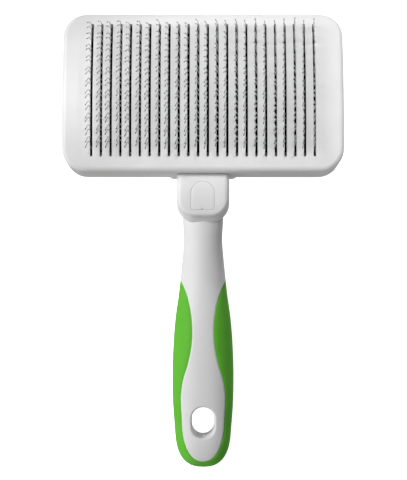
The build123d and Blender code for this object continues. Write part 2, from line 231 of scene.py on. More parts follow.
def rubber(name, dark, light, roughness, grain):
    """Soft-touch overmould: matt, with a fine pebble and a little sheen."""
    material, tree, shader = new_material(name)
    place, _ = add_bump(tree, shader, 1500.0, grain, 0.00006, detail=5.0)
    add_mottle(tree, shader, place, 90.0, dark, light)
    shader.inputs["Roughness"].default_value = roughness
    shader.inputs["Specular IOR Level"].default_value = 0.25
    return material


def metal(name, dark, light, roughness):
    """Drawn wire or plated steel: fine lengthwise marks and small stains."""
    material, tree, shader = new_material(name)
    place, noise = add_bump(tree, shader, 4000.0, 0.08, 0.00002)
    add_mottle(tree, shader, place, 900.0, dark, light)
    shader.inputs["Metallic"].default_value = 1.0
    shader.inputs["Roughness"].default_value = roughness
    return material


WHITE_PLASTIC = plastic("white_plastic", (0.80, 0.80, 0.80, 1), (0.84, 0.84, 0.84, 1), 0.5)
INNER_PLASTIC = plastic("inner_plastic", (0.40, 0.40, 0.39, 1), (0.46, 0.46, 0.45, 1), 0.55)
GREEN_PLASTIC = plastic("green_plastic", (0.085, 0.44, 0.016, 1), (0.10, 0.48, 0.020, 1), 0.36)
GREEN_RUBBER = rubber("green_rubber", (0.12, 0.51, 0.030, 1), (0.135, 0.55, 0.036, 1), 0.6, 0.2)
# black rubber pad, made near-zero black: partly its own colour, partly painted shade for the dark
# slots
BLACK_RUBBER_SLOT_SHADE = rubber("black_rubber_slot_shade", (0.003, 0.003, 0.003, 1), (0.006, 0.006, 0.006, 1), 0.9, 0.3)
PIN_STEEL = metal("pin_steel", (0.50, 0.50, 0.50, 1), (0.68, 0.68, 0.68, 1), 0.22)
# darker, rougher copy of the pin steel for the wire ends: painted shade on the bent tips
PIN_TIP_SHADE = metal("pin_tip_painted_shade", (0.10, 0.10, 0.10, 1), (0.16, 0.16, 0.16, 1), 0.45)
SCREW_STEEL = metal("screw_steel", (0.50, 0.50, 0.50, 1), (0.62, 0.62, 0.61, 1), 0.35)


def dress(piece, *materials):
    piece.data.materials.clear()
    for material in materials:
        piece.data.materials.append(material)


# ---- head ---------------------------------------------------------------------------------
def row_x(row):
    return (row - (ROWS - 1) / 2) * ROW_PITCH


def arc_z(y):
    """Height of the face at y from the head's centre line."""
    return FACE_Z - FACE_R + math.sqrt(FACE_R**2 - y * y)


def around_head(u, v, half_u, half_v, inset):
    """The head outline's point, `inset` inside it, that belongs to a point of the inner field."""
    a, b, c = HEAD_W / 2, HEAD_L / 2, HEAD_CORNER
    quarter = math.pi / 4
    on_side = abs(u) / half_u >= abs(v) / half_v
    straight = (b if on_side else a) - c
    part = abs(v) / half_v if on_side else abs(u) / half_u
    bend = CORNER_FROM_SIDE if on_side else CORNER_FROM_END
    along = min(part / bend, 1.0) * straight + max(part - bend, 0.0) / (1 - bend) * c * quarter
    if along <= straight:
        x, y = (a - inset, along) if on_side else (along, b - inset)
    else:
        angle = (along - straight) / c
        angle = angle if on_side else math.pi / 2 - angle
        x = a - c + (c - inset) * math.cos(angle)
        y = b - c + (c - inset) * math.sin(angle)
    return math.copysign(x, u), math.copysign(y, v)


def face_shell_mesh():
    """Slotted face, rounded front edge, skirt and inside walls, as one closed mesh."""
    verts, faces = [], []

    def vert(x, y, z):
        verts.append((x, HEAD_Y + y, z))
        return len(verts) - 1

    slot_y0, slot_y1 = SLOT_AT - SLOT_L / 2, SLOT_AT + SLOT_L / 2
    margin = 0.9
    rows_y = spread(slot_y0 + 0.001, slot_y1 - 0.001, 33)
    half_u = row_x(ROWS - 1) + SLOT_W / 2 + SLOT_RIM + margin
    half_v0, half_v1 = slot_y0 - SLOT_RIM - margin, slot_y1 + SLOT_RIM + margin

    def slot_loop(centre, grow, z_of):
        left, right = centre - SLOT_W / 2 - grow, centre + SLOT_W / 2 + grow
        low, high = slot_y0 - grow, slot_y1 + grow
        ys = [low] + rows_y[1:-1] + [high]
        up = [vert(right, y, z_of(y)) for y in ys]
        down = [vert(left, y, z_of(y)) for y in reversed(ys)]
        return up + down

    def sheet(drop, rim_steps):
        """Surface at `drop` below the face; returns its edge loops of slots and field."""
        z_of = lambda y: arc_z(y) - drop
        outer = [slot_loop(row_x(r), SLOT_RIM, z_of) for r in range(ROWS)]
        count = len(rows_y)
        inner = outer
        for step in range(1, rim_steps + 1):
            turn = math.pi / 2 * step / rim_steps
            grow = SLOT_RIM * (1 - math.sin(turn))
            low = SLOT_RIM * (1 - math.cos(turn))
            ring = [slot_loop(row_x(r), grow, lambda y: arc_z(y) - drop - low)
                    for r in range(ROWS)]
            for a, b in zip(inner, ring):
                faces.extend(stitch(a, b))
            inner = ring
        ys = [slot_y0 - SLOT_RIM] + rows_y[1:-1] + [slot_y1 + SLOT_RIM]
        left_edge = [vert(-half_u, y, z_of(y)) for y in ys]
        right_edge = [vert(half_u, y, z_of(y)) for y in ys]
        columns = [left_edge]
        for loop in outer:
            columns.append(list(reversed(loop[count:])))
            columns.append(loop[:count])
        columns.append(right_edge)
        for k in range(0, len(columns), 2):
            faces.extend(stitch(columns[k], columns[k + 1], closed=False))
        top = [vert(verts[c[-1]][0], half_v1, z_of(half_v1)) for c in columns]
        bottom = [vert(verts[c[0]][0], half_v0, z_of(half_v0)) for c in columns]
        faces.extend(stitch(top, [c[-1] for c in columns], closed=False))
        faces.extend(stitch([c[0] for c in columns], bottom, closed=False))
        border = bottom + right_edge + list(reversed(top)) + list(reversed(left_edge))
        return inner, border

    def ring_at(border, inset, drop=None, z=None, mix=1.0):
        loop = []
        mid = (half_v0 + half_v1) / 2
        for i in border:
            u, v = verts[i][0], verts[i][1] - HEAD_Y
            x, y = around_head(u, v - mid, half_u, (half_v1 - half_v0) / 2, inset)
            x, y = u + (x - u) * mix, v + (y - v) * mix
            level = arc_z(y) - drop if z is None else z
            if z is not None and y < 0 and abs(x) < NOTCH_W:
                level = max(z, NOTCH_Z + (z - SKIRT_Z))
            loop.append(vert(x, y, level))
        return loop

    top_slots, top_border = sheet(0.0, 4)
    low_slots, low_border = sheet(FACE_T, 1)
    for a, b in zip(top_slots, low_slots):
        faces.extend(stitch(a, b))
    loops = [top_border]
    for mix in (0.25, 0.5, 0.75):
        loops.append(ring_at(top_border, FRONT_FILLET, drop=0.0, mix=mix))
    steps = 10
    for step in range(steps + 1):
        turn = math.pi / 2 * step / steps
        loops.append(ring_at(top_border, FRONT_FILLET * (1 - math.sin(turn)),
                             drop=FRONT_FILLET * (1 - math.cos(turn))))
    lip = 0.35
    loops.append(ring_at(top_border, 0.0, z=SKIRT_Z + 6))
    loops.append(ring_at(top_border, 0.0, z=SKIRT_Z + lip))
    loops.append(ring_at(top_border, lip * 0.3, z=SKIRT_Z + lip * 0.3))
    loops.append(ring_at(top_border, lip, z=SKIRT_Z))
    loops.append(ring_at(top_border, SKIRT_T - lip, z=SKIRT_Z))
    loops.append(ring_at(top_border, SKIRT_T, z=SKIRT_Z + lip))
    loops.append(ring_at(top_border, SKIRT_T, drop=FACE_T))
    loops.append(low_border)
    for a, b in zip(loops, loops[1:]):
        faces.extend(stitch(a, b))
    for x in (-POST_X, POST_X):
        for y in (-POST_Y, POST_Y):
            rings = []
            for z in (POST_FOOT, POST_FOOT + lip, arc_z(y) - FACE_T + lip):
                r = POST_R - (lip if z == POST_FOOT else 0)
                turns = spread(0, 2 * math.pi, 25)[:-1]
                rings.append([vert(x + r * math.cos(t), y + r * math.sin(t), z) for t in turns])
            for a, b in zip(rings, rings[1:]):
                faces.extend(stitch(a, b))
            faces.extend([tuple(rings[0]), tuple(reversed(rings[-1]))])
    return verts, faces


face_shell = make_piece("face_shell_moulding", *face_shell_mesh(), "cleaner", ["face_shell"],
                        "white_shell", smooth_angle=50)
dress(face_shell, WHITE_PLASTIC)


def tube(path, radius, sides=10, blunt=0.35):
    """Closed round wire along a path, with slightly blunted ends."""
    verts, faces, rings = [], [], []
    points = [Vector(p) for p in path]
    side = Vector((1, 0, 0))
    for i, point in enumerate(points):
        ahead = points[min(i + 1, len(points) - 1)] - points[max(i - 1, 0)]
        ahead.normalize()
        up = ahead.cross(side).normalized()
        across = up.cross(ahead)
        scale = blunt if i in (0, len(points) - 1) else 1.0
        ring = []
        for k in range(sides):
            turn = 2 * math.pi * k / sides
            offset = across * math.cos(turn) + up * math.sin(turn)
            verts.append(point + offset * radius * scale)
            ring.append(len(verts) - 1)
        rings.append(ring)
    for a, b in zip(rings, rings[1:]):
        faces.extend(stitch(a, b))
    faces.append(tuple(rings[0]))
    faces.append(tuple(reversed(rings[-1])))
    return verts, faces


ROW_SHIFTS = (-0.24, 0.17)      # the rows stand left and right of their slots' middles by turns


def staple_path(row, index):
    """Tip, knee, crown, knee, tip of one staple, in the head's own millimetres."""
    y0 = PIN_FIELD + (index - (STAPLES - 1) / 2) * STAPLE_PITCH + 0.6 * wobble(row, 77)
    lean = math.asin(y0 / FACE_R)
    origin = Vector((row_x(row), HEAD_Y + y0, arc_z(y0)))
    normal = Vector((0, math.sin(lean), math.cos(lean)))
    along = Vector((0, math.cos(lean), -math.sin(lean)))

    shift = ROW_SHIFTS[row % 2]

    def place(u, w, x=0.0):
        return origin + along * u + normal * w + Vector((x + shift, 0, 0))

    across, up = row / (ROWS - 1), index / (STAPLES - 1)
    side = PIN_SIDE + across * (0.04 - 0.08 * up**4)
    turn_back = TIP_BEND - 15.0 * across * up**2
    legs = []
    for leg in (-1, 1):
        bend = math.radians(turn_back + 3.0 * wobble(row, index, leg + 1))
        tip = TIP_L + 0.12 * wobble(index, row, leg + 5)
        sway = -(side + 0.02 * wobble(row, index, leg + 9))
        u = leg * LEG_GAP / 2
        knee = []
        round_off = 0.5
        for t in (0.0, 0.25, 0.5, 0.75, 1.0):
            before, after = (1 - t) * round_off, t * round_off
            curve = t * (1 - t) * 0.4 * round_off
            w = KNEE_H - before + after * math.cos(bend) - curve * (1 - math.cos(bend))
            knee.append(place(u - after * math.sin(bend), w, sway * w))
        ends = []
        for reach in (tip - 0.9, tip - 0.12, tip):
            w = KNEE_H + reach * math.cos(bend)
            ends.append(place(u - reach * math.sin(bend), w, sway * w))
        foot = []
        r = 0.45
        for turn in (0.0, 0.5, 1.0):
            a = turn * math.pi / 2
            foot.append(place(u - leg * r * (1 - math.cos(a)), -CROWN_DROP + r * (1 - math.sin(a))))
        legs.append([place(u, 0.0)] + knee + ends)
        legs[-1] = foot[::-1] + [place(u, -2.0)] + legs[-1]
    left, right = legs
    return left[::-1] + right


def pin_row_mesh(row):
    verts, faces, tips = [], [], []
    for index in range(STAPLES):
        path = staple_path(row, index)
        more_verts, more_faces = tube(path, PIN_R)
        sides = 10
        rings = len(path)
        for number, face in enumerate(more_faces):
            segment = number // sides
            painted_shade_at_tip = segment < 2 or segment >= rings - 3
            tips.append(painted_shade_at_tip)
        faces.extend([tuple(i + len(verts) for i in face) for face in more_faces])
        verts.extend(more_verts)
    return verts, faces, tips


for row in range(ROWS):
    name = f"pin_row_{row + 1:02d}"
    verts, faces, tips = pin_row_mesh(row)
    wires = make_piece(f"wires_{row + 1:02d}", verts, faces, "handle", [name], "pin_wire",
                       smooth_angle=60)
    dress(wires, PIN_STEEL, PIN_TIP_SHADE)
    # the last 0.9 mm of each wire end takes the darker steel: painted shade on the tips
    for polygon, painted_shade_at_tip in zip(wires.data.polygons, tips):
        polygon.material_index = 1 if painted_shade_at_tip else 0
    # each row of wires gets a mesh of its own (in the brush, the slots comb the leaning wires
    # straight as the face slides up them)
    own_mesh(wires)


# ---- pin cushion --------------------------------------------------------------------------
PAD_TOP, PAD_FOOT = 2.8, 5.8      # its two faces, below the face's arc
PAD_HALF = 50.0
PAD_CORNER = 4.0
PAD_RIM = 1.3
POST_ROOM = 3.9


def pad_half_width(y, low, high):
    """Half the pad's width at y: round corners, and a bite round each of the face's posts."""
    near = PAD_CORNER - min(y - low, high - y, PAD_CORNER)
    half = PAD_HALF - PAD_CORNER + math.sqrt(PAD_CORNER**2 - near**2)
    for post in (-POST_Y, POST_Y):
        room = POST_ROOM**2 - (y - post)**2
        if room > 0:
            half = min(half, POST_X - math.sqrt(room))
    return half


def pad_mesh():
    """Crowned rubber pad: rounded rim, a furrow along each pin row and a dimple at each leg."""
    low, high = ((corner.y / MM - HEAD_Y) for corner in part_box("pin_cushion"))
    legs = [PIN_FIELD + (i - (STAPLES - 1) / 2) * STAPLE_PITCH + side * LEG_GAP / 2
            for i in range(STAPLES) for side in (-1, 1)]
    turns = spread(0.12, math.pi / 2, 7)
    ends = [PAD_RIM * (1 - math.cos(turn)) for turn in turns]
    rows_y = [low + end for end in ends[:-1]] + spread(low + PAD_RIM, high - PAD_RIM, 96) \
        + [high - end for end in reversed(ends[:-1])]
    verts, loops, faces = [], [], []
    for y in rows_y:
        half = pad_half_width(y, low, high)
        near = PAD_RIM - min(y - low, high - y, PAD_RIM)
        thick = (PAD_FOOT - PAD_TOP) / 2 * math.sqrt(1 - (near / PAD_RIM)**2)
        middle = arc_z(y) - (PAD_TOP + PAD_FOOT) / 2
        at_leg = max(math.exp(-((y - leg) / 0.6)**2) for leg in legs)
        rim = [half - PAD_RIM + PAD_RIM * math.sin(turn) for turn in spread(0, math.pi / 2, 7)]
        xs = [-x for x in reversed(rim)] + spread(-rim[0], rim[0], 201)[1:-1] + rim
        upper, lower = [], []
        for x in xs:
            out = max(abs(x) - (half - PAD_RIM), 0.0) / PAD_RIM
            rise = thick * math.sqrt(max(1 - out * out, 0.0))
            row = min(max(round(x / ROW_PITCH + (ROWS - 1) / 2), 0), ROWS - 1)
            furrow = math.exp(-((x - row_x(row)) / 0.7)**2) * (0.2 + 0.35 * at_leg)
            sag = furrow * rise / ((PAD_FOOT - PAD_TOP) / 2)
            upper.append((x, HEAD_Y + y, middle + rise - sag))
            lower.append((x, HEAD_Y + y, middle - rise))
        loops.append(list(range(len(verts), len(verts) + 2 * len(xs) - 2)))
        verts.extend(upper + lower[-2:0:-1])
    for a, b in zip(loops, loops[1:]):
        faces.extend(stitch(a, b))
    faces.append(tuple(loops[0]))
    faces.append(tuple(reversed(loops[-1])))
    return verts, faces


pad = make_piece("pin_pad", *pad_mesh(), "handle", ["pin_cushion"], "cushion_rubber",
                 smooth_angle=50)
# near-zero black on the pad: painted shade seen down the slots
dress(pad, BLACK_RUBBER_SLOT_SHADE)

# ---- handle -------------------------------------------------------------------------------
HALF_WIDTH = [(4.0, 9.2), (-8.0, 9.2), (-20.0, 8.8), (-28.0, 8.45), (-40.0, 9.45), (-51.0, 10.6),
              (-61.0, 12.0), (-72.0, 12.9), (-85.0, 13.35), (-98.0, 13.15), (-110.0, 12.3),
              (-118.0, 11.7), (-126.4, 11.3)]
HALF_THICK = [(4.0, 6.5), (-12.0, 6.5), (-28.0, 6.7), (-45.0, 7.9), (-62.0, 9.7), (-82.0, 10.2),
              (-98.0, 9.2), (-112.0, 8.2), (-126.0, 7.6)]
PANEL_HALF = [(-38.7, 14.0), (-42.7, 11.2), (-49.5, 7.8), (-55.0, 6.1), (-61.0, 5.05),
              (-67.5, 4.7), (-74.0, 5.2), (-81.0, 6.7), (-86.0, 8.3), (-90.0, 9.2),
              (-96.0, 9.75), (-106.0, 9.3), (-126.0, 9.0)]
ROUNDNESS = [(4.0, 2.3), (-14.0, 2.2), (-26.0, 2.0), (-45.0, 2.0), (-62.0, 2.15), (-98.0, 2.3),
             (-126.4, 2.3)]


def row_place(x, s, off):
    """A point of the handle: x across, s along it from the root, off above its middle plane."""
    y = ROOT_Y + s * math.cos(TILT) - off * math.sin(TILT)
    z = ROOT_Z + s * math.sin(TILT) + off * math.cos(TILT)
    return (x, min(y, NECK_TOP_Y), z)


def closing(s, start, end, power):
    """1 before `start`, falling to 0 at `end` as a rounded end does."""
    part = min(max((start - s) / (start - end), 0.0), 1.0)
    return (1 - part**power)**(1 / power)


def handle_section(s, inset=0.0):
    end = HANDLE_END + inset
    w = (through(HALF_WIDTH, s) - inset) * closing(s, -112.0, end, 2.5)
    t = (through(HALF_THICK, s) - inset) * closing(s, -114.0, end, 2.1)
    return w, t


def skin(s, angle, inset=0.0, sink=0.0):
    """Point on the handle's rounded section at an angle from its right side."""
    w, t = handle_section(s, inset)
    w, t = max(w - sink, 0.0), max(t - sink, 0.0)
    power = through(ROUNDNESS, s)
    c, d = math.cos(angle), math.sin(angle)
    x = w * math.copysign(abs(c)**(2 / power), c)
    off = t * math.copysign(abs(d)**(2 / power), d)
    return row_place(x, s, off)


def border_angle(s):
    """Angle from the side at which the grip ends and the white panel begins."""
    w, _ = handle_section(s)
    b = through(PANEL_HALF, s) * closing(s, -106.0, PANEL_END, 2.2)
    if s >= GRIP_FROM or b >= w:
        return 0.0
    return math.acos(min((b / w)**(through(ROUNDNESS, s) / 2), 1.0))


def close_rows(a, b, count):
    """Places from a to b that crowd together towards b."""
    return [a + (b - a) * math.sin(math.pi / 2 * i / (count - 1)) for i in range(count)]


PANEL_ROWS = spread(0.0, -42.0, 22)[:-1] + spread(-42.0, -106.0, 56)[:-1] \
    + close_rows(-106.0, PANEL_END + 0.02, 26)


def half_handle_mesh(side):
    """White half of the handle: panel, sides under the grip and the flat it is joined on."""
    verts, faces, loops = [], [], []
    for s in PANEL_ROWS:
        edge = border_angle(s)
        gripped = edge > 0
        inset = GRIP_T if gripped else 0.0
        loop = []

        def add(point):
            verts.append(point)
            loop.append(len(verts) - 1)

        seam_sink = 0.12
        for angle in spread(0.0, edge, 9)[:-1]:
            add(skin(s, angle * side, inset, 0.0 if angle or gripped else seam_sink))
        add(skin(s, edge * side, inset, 0.0 if gripped else seam_sink))
        shoulder = 0.05 if gripped else 0.045
        add(skin(s, edge * side, 0.0, 0.25 if gripped else seam_sink))
        span = spread(edge + shoulder, math.pi - edge - shoulder, 41)
        if edge + shoulder > math.pi / 2:
            span = [math.pi / 2] * 41
        for angle in span:
            add(skin(s, angle * side))
        add(skin(s, (math.pi - edge) * side, 0.0, 0.25 if gripped else seam_sink))
        add(skin(s, (math.pi - edge) * side, inset, 0.0 if gripped else seam_sink))
        for angle in spread(math.pi - edge, math.pi, 9)[1:]:
            add(skin(s, angle * side, inset, 0.0 if gripped else seam_sink))
        loops.append(loop)
    for a, b in zip(loops, loops[1:]):
        faces.extend(stitch(a, b))
    faces.append(tuple(loops[0]))
    faces.append(tuple(reversed(loops[-1])))
    return verts, faces


def hanger_cutter():
    """Hanging hole with a rounded mouth that follows the handle's front and back."""
    verts, faces, loops = [], [], []
    straight = (HANGER_L - HANGER_W) / 2
    mouth = 1.0
    profile = [(side, step) for side in (-1, 1) for step in range(9)]
    for side, step in profile:
        turn = math.pi / 2 * (step / 7 if side > 0 else 1 - step / 7)
        outside = (step == 8 and side > 0) or (step == 0 and side < 0)
        if side < 0:
            turn = math.pi / 2 * (1 - max(step - 1, 0) / 7)
        grow = mouth * (1 - math.cos(min(turn, math.pi / 2)))
        depth = mouth * (1 - math.sin(min(turn, math.pi / 2)))
        if outside:
            grow, depth = mouth, -3.0
        loop = []
        for k in range(96):
            angle = 2 * math.pi * k / 96
            x = (HANGER_W / 2 + grow) * math.cos(angle)
            s = HANGER_AT + (HANGER_W / 2 + grow) * math.sin(angle)
            s += math.copysign(straight, math.sin(angle)) if abs(math.sin(angle)) > 1e-9 else 0
            w, t = handle_section(s)
            power = through(ROUNDNESS, s)
            level = t * (1 - abs(x / w)**power)**(1 / power)
            verts.append(row_place(x, s, side * (level - depth)))
            loop.append(len(verts) - 1)
        loops.append(loop)
    for a, b in zip(loops, loops[1:]):
        faces.extend(stitch(a, b))
    faces.append(tuple(loops[0]))
    faces.append(tuple(reversed(loops[-1])))
    return verts, faces


def cut_hole(piece, cutter_mesh):
    """Cuts the hanging hole through a piece and keeps the result as its mesh."""
    verts, faces = cutter_mesh
    mesh = bpy.data.meshes.new("hole")
    bm = bmesh.new()
    points = [bm.verts.new(Vector(v) * MM) for v in verts]
    for face in faces:
        bm.faces.new([points[i] for i in face])
    bmesh.ops.recalc_face_normals(bm, faces=bm.faces)
    bm.to_mesh(mesh)
    bm.free()
    cutter = bpy.data.objects.new("hole", mesh)
    bpy.context.scene.collection.objects.link(cutter)
    cut = piece.modifiers.new("hole", "BOOLEAN")
    cut.operation = "DIFFERENCE"
    cut.solver = "EXACT"
    cut.object = cutter
    bpy.context.view_layer.update()
    ready = bpy.data.meshes.new_from_object(
        piece.evaluated_get(bpy.context.evaluated_depsgraph_get()))
    piece.modifiers.clear()
    piece.data = ready
    bpy.data.objects.remove(cutter)
    smooth(piece, 35)


for side, half in ((1, "handle_front_half"), (-1, "handle_rear_half")):
    shell = make_piece(f"{half}_moulding", *half_handle_mesh(side), "handle", [half],
                       "white_handle", smooth_angle=35)
    cut_hole(shell, hanger_cutter())
    dress(shell, WHITE_PLASTIC)


def grip_mesh():
    """Green overmould: an outer skin, the bed it is moulded on and the edges between."""
    verts, faces = [], []
    turns = spread(-1.0, 1.0, 33)
    side_rows = spread(GRIP_FROM - 0.15, -106.0, 62)[:-1] + close_rows(-106.0, PANEL_END, 26)
    end_rows = close_rows(PANEL_END, HANDLE_END, 14)[1:]

    def line(s, side, inset, edge):
        row = []
        for turn in turns:
            angle = turn * edge
            if side < 0:
                angle = math.pi - angle
            sink = 0.0
            if inset == 0.0 and s > PANEL_END and abs(turn) == 1.0:
                sink = 0.22
            verts.append(skin(s, angle, inset, sink))
            row.append(len(verts) - 1)
        return row

    rings = {}
    for side in (-1, 1):
        outer = [line(s, side, 0.0, border_angle(s) if s > PANEL_END else math.pi / 2)
                 for s in side_rows]
        inner = [line(s, side, GRIP_T, border_angle(s) if s > PANEL_END else math.pi / 2)
                 for s in side_rows]
        for rows in (outer, inner):
            for a, b in zip(rows, rows[1:]):
                faces.extend(stitch(a, b, closed=False))
        for edge in (0, -1):
            faces.extend(stitch([r[edge] for r in outer], [r[edge] for r in inner],
                                closed=False))
        faces.extend(stitch(outer[0], inner[0], closed=False))
        rings[side] = (outer[-1], inner[-1])
    for which, inset in ((0, 0.0), (1, GRIP_T)):
        last = {side: rings[side][which] for side in rings}
        end = HANDLE_END + inset
        for s in end_rows:
            at = PANEL_END + (s - PANEL_END) * (end - PANEL_END) / (HANDLE_END - PANEL_END)
            for side in (-1, 1):
                now = line(at, side, inset, math.pi / 2)
                faces.extend(stitch(last[side], now, closed=False))
                last[side] = now
    return verts, faces


grip = make_piece("grip_overmould", *grip_mesh(), "handle", ["grip"], "grip_rubber",
                  smooth_angle=40)
dress(grip, GREEN_RUBBER)

# ---- neck block ---------------------------------------------------------------------------
CAP_FRONT = 11.0
CAP_HALF = 11.3
CAP_TOP = 1.5            # runs up to the head, where row_place() levels it off
CAP_LIP = -19.6          # its lower end, where it meets the handle
CAP_BROW = -17.55        # and where the rounding of its front starts
CAP_FOOT = 6.4
CAP_RIM = 2.3
CAP_CORNER = 7.8
ARCH = dict(half_w=5.2, top=-2.4, low=-14.7, r_top=5.19, r_low=1.3)
RAYS = 160
PLUG_T = 2.0
GROOVE = 0.24
PLUG_BEVEL = 0.75


def ray_outline(half_w, top, low, r_top, r_low, grow=0.0):
    """Rounded oblong as points on rays from the arch's middle."""
    half_w, top, low = half_w + grow, top + grow, low - grow
    r_top, r_low = max(r_top + grow, 0.05), max(r_low + grow, 0.05)
    mid, half_s = (top + low) / 2, (top - low) / 2

    def outside(x, s):
        r = r_low if s < mid else r_top
        qx, qs = abs(x) - (half_w - r), abs(s - mid) - (half_s - r)
        return math.hypot(max(qx, 0), max(qs, 0)) + min(max(qx, qs), 0) - r > 0

    points = []
    for k in range(RAYS):
        angle = 2 * math.pi * (k + 0.5) / RAYS
        near, far = 0.0, 40.0
        for _ in range(30):
            reach = (near + far) / 2
            if outside(reach * math.cos(angle), ARCH_MID + reach * math.sin(angle)):
                far = reach
            else:
                near = reach
        points.append((near * math.cos(angle), ARCH_MID + near * math.sin(angle)))
    return points


ARCH_MID = -8.8


def ring_stack(rings, closed_low=True):
    """Closed mesh through rings of (x, s, off) points, filled at both ends."""
    verts, faces, loops = [], [], []
    for ring in rings:
        loops.append(list(range(len(verts), len(verts) + len(ring))))
        verts.extend(row_place(*point) for point in ring)
    for a, b in zip(loops, loops[1:]):
        faces.extend(stitch(a, b))
    faces.append(tuple(loops[0]))
    faces.append(tuple(reversed(loops[-1])))
    return verts, faces


def level_ring(outline, off):
    return [(x, s, off) for x, s in outline]


def dimple(x, s):
    """Extra width of the groove at the pry notch in the plug's foot."""
    return 0.7 * math.exp(-(x / 0.6)**2) if s < ARCH["low"] + 1.5 else 0.0


def neck_cap_mesh():
    rings = []
    for off in (1.0, 3.0, 5.0, CAP_FOOT):
        rings.append(level_ring(ray_outline(CAP_HALF, CAP_TOP, CAP_LIP, 0.8, CAP_CORNER), off))
    shoulder = CAP_FRONT - CAP_RIM
    for part in (0.25, 0.5, 0.75):
        low = CAP_LIP + (CAP_BROW - CAP_LIP) * part
        outline = ray_outline(CAP_HALF, CAP_TOP, low, 0.8, CAP_CORNER)
        rings.append(level_ring(outline, CAP_FOOT + (shoulder - CAP_FOOT) * part))
    for turn in spread(0, math.pi / 2, 11):
        inset = CAP_RIM * (1 - math.cos(turn))
        outline = ray_outline(CAP_HALF - inset, CAP_TOP - 0.35 * inset, CAP_BROW + 0.67 * inset,
                              0.9, CAP_CORNER - inset)
        rings.append(level_ring(outline, CAP_FRONT - CAP_RIM * (1 - math.sin(turn))))
    for grow in (1.0, 0.7, 0.4):
        rings.append(level_ring(ray_outline(**ARCH, grow=grow), CAP_FRONT))
    for turn in spread(0, math.pi / 2, 5):
        outline = ray_outline(**ARCH, grow=GROOVE * (1 - math.sin(turn)))
        rings.append(level_ring(outline, CAP_FRONT - GROOVE * (1 - math.cos(turn))))
    rings.append(level_ring(ray_outline(**ARCH), CAP_FRONT - PLUG_T - 0.2))
    return ring_stack(rings)


def screw_plug_mesh():
    top = CAP_FRONT - 0.03
    slack = -0.03
    rings = [level_ring(ray_outline(**ARCH, grow=slack), top - PLUG_T)]
    for turn in spread(0, math.pi / 2, 5):
        ring = []
        for x, s in ray_outline(**ARCH, grow=slack):
            wide = PLUG_BEVEL + dimple(x, s)
            pull = wide * (1 - math.cos(turn)) / ARCH["half_w"]
            drop = (GROOVE + dimple(x, s)) * (1 - math.sin(turn))
            ring.append((x * (1 - pull), s + (ARCH_MID - s) * pull, top - drop))
        rings.append(ring)
    rings.append(level_ring(ray_outline(**ARCH, grow=-1.6), top))
    return ring_stack(rings)


def handle_blank():
    """The handle's outer form near the neck, to cut the neck cap's inside."""
    rings = []
    for s in spread(5.0, -30.0, 24):
        w, t = handle_section(s)
        power = through(ROUNDNESS, s)
        ring = []
        for k in range(96):
            angle = 2 * math.pi * k / 96
            c, d = math.cos(angle), math.sin(angle)
            ring.append((w * math.copysign(abs(c)**(2 / power), c), s,
                         t * math.copysign(abs(d)**(2 / power), d)))
        rings.append(ring)
    return ring_stack(rings)


neck_cap = make_piece("neck_block", *neck_cap_mesh(), "handle", ["neck_cap"], "white_cap",
                      smooth_angle=50)
cut_hole(neck_cap, handle_blank())
dress(neck_cap, WHITE_PLASTIC)
screw_plug = make_piece("neck_block_plug", *screw_plug_mesh(), "handle", ["screw_plug"],
                        "white_cap", smooth_angle=50)
dress(screw_plug, WHITE_PLASTIC)

# ---- return springs -----------------------------------------------------------------------
SPRING_WIRE = 0.9
SPRING_R = 4.0
SPRING_TURNS = 8
DEAD_RISE = 0.95         # rise of the closed turn at each end


def spring_mesh(middle, low, high):
    """Compression spring with a closed turn at each end."""
    verts, loops, faces = [], [], []
    per_turn, sides = 28, 10
    pitch = (high - low - SPRING_WIRE - 2 * DEAD_RISE) / (SPRING_TURNS - 2)
    for step in range(SPRING_TURNS * per_turn + 1):
        turn = step / per_turn
        open_turns = min(max(turn - 1, 0), SPRING_TURNS - 2)
        z = low + SPRING_WIRE / 2 + open_turns * pitch + (turn - open_turns) * DEAD_RISE
        angle = 2 * math.pi * turn
        loops.append(list(range(len(verts), len(verts) + sides)))
        for k in range(sides):
            a = 2 * math.pi * k / sides
            r = SPRING_R + SPRING_WIRE / 2 * math.cos(a)
            verts.append((middle.x + r * math.cos(angle), middle.y + r * math.sin(angle),
                          z + SPRING_WIRE / 2 * math.sin(a)))
    for a, b in zip(loops, loops[1:]):
        faces.extend(stitch(a, b))
    faces.append(tuple(loops[0]))
    faces.append(tuple(reversed(loops[-1])))
    return verts, faces


for side in ("left", "right"):
    low, high = (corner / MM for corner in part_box(f"return_spring_{side}"))
    coil = make_piece(f"spring_coil_{side}", *spring_mesh((low + high) / 2, low.z, high.z),
                      "cleaner", [f"return_spring_{side}"], "spring_wire", smooth_angle=60)
    dress(coil, SCREW_STEEL)
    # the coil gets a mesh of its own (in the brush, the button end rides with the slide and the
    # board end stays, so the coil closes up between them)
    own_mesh(coil)

# ---- CAD pieces that keep their own shape -------------------------------------------------
CAD_LOOKS = {
    "rear_shell": WHITE_PLASTIC,
    "pin_board": INNER_PLASTIC, "pusher_plate": INNER_PLASTIC,
    "push_button": GREEN_PLASTIC, "board_screws": SCREW_STEEL, "post_screws": SCREW_STEEL,
    "button_screws": SCREW_STEEL, "neck_screw": SCREW_STEEL, "handle_screws": SCREW_STEEL,
}
for name, material in CAD_LOOKS.items():
    dress(nodes[name], material)
    smooth(nodes[name], 30)

# ---- floor, light and camera --------------------------------------------------------------
scene = bpy.context.scene
scene.view_settings.view_transform = "Standard"


def white_paper(name):
    material, tree, shader = new_material(name)
    add_bump(tree, shader, 300.0, 0.02, 0.0001)
    shader.inputs["Base Color"].default_value = (0.95, 0.95, 0.95, 1)
    shader.inputs["Roughness"].default_value = 0.9
    shader.inputs["Emission Color"].default_value = (1, 1, 1, 1)
    shader.inputs["Emission Strength"].default_value = 1.0
    return material


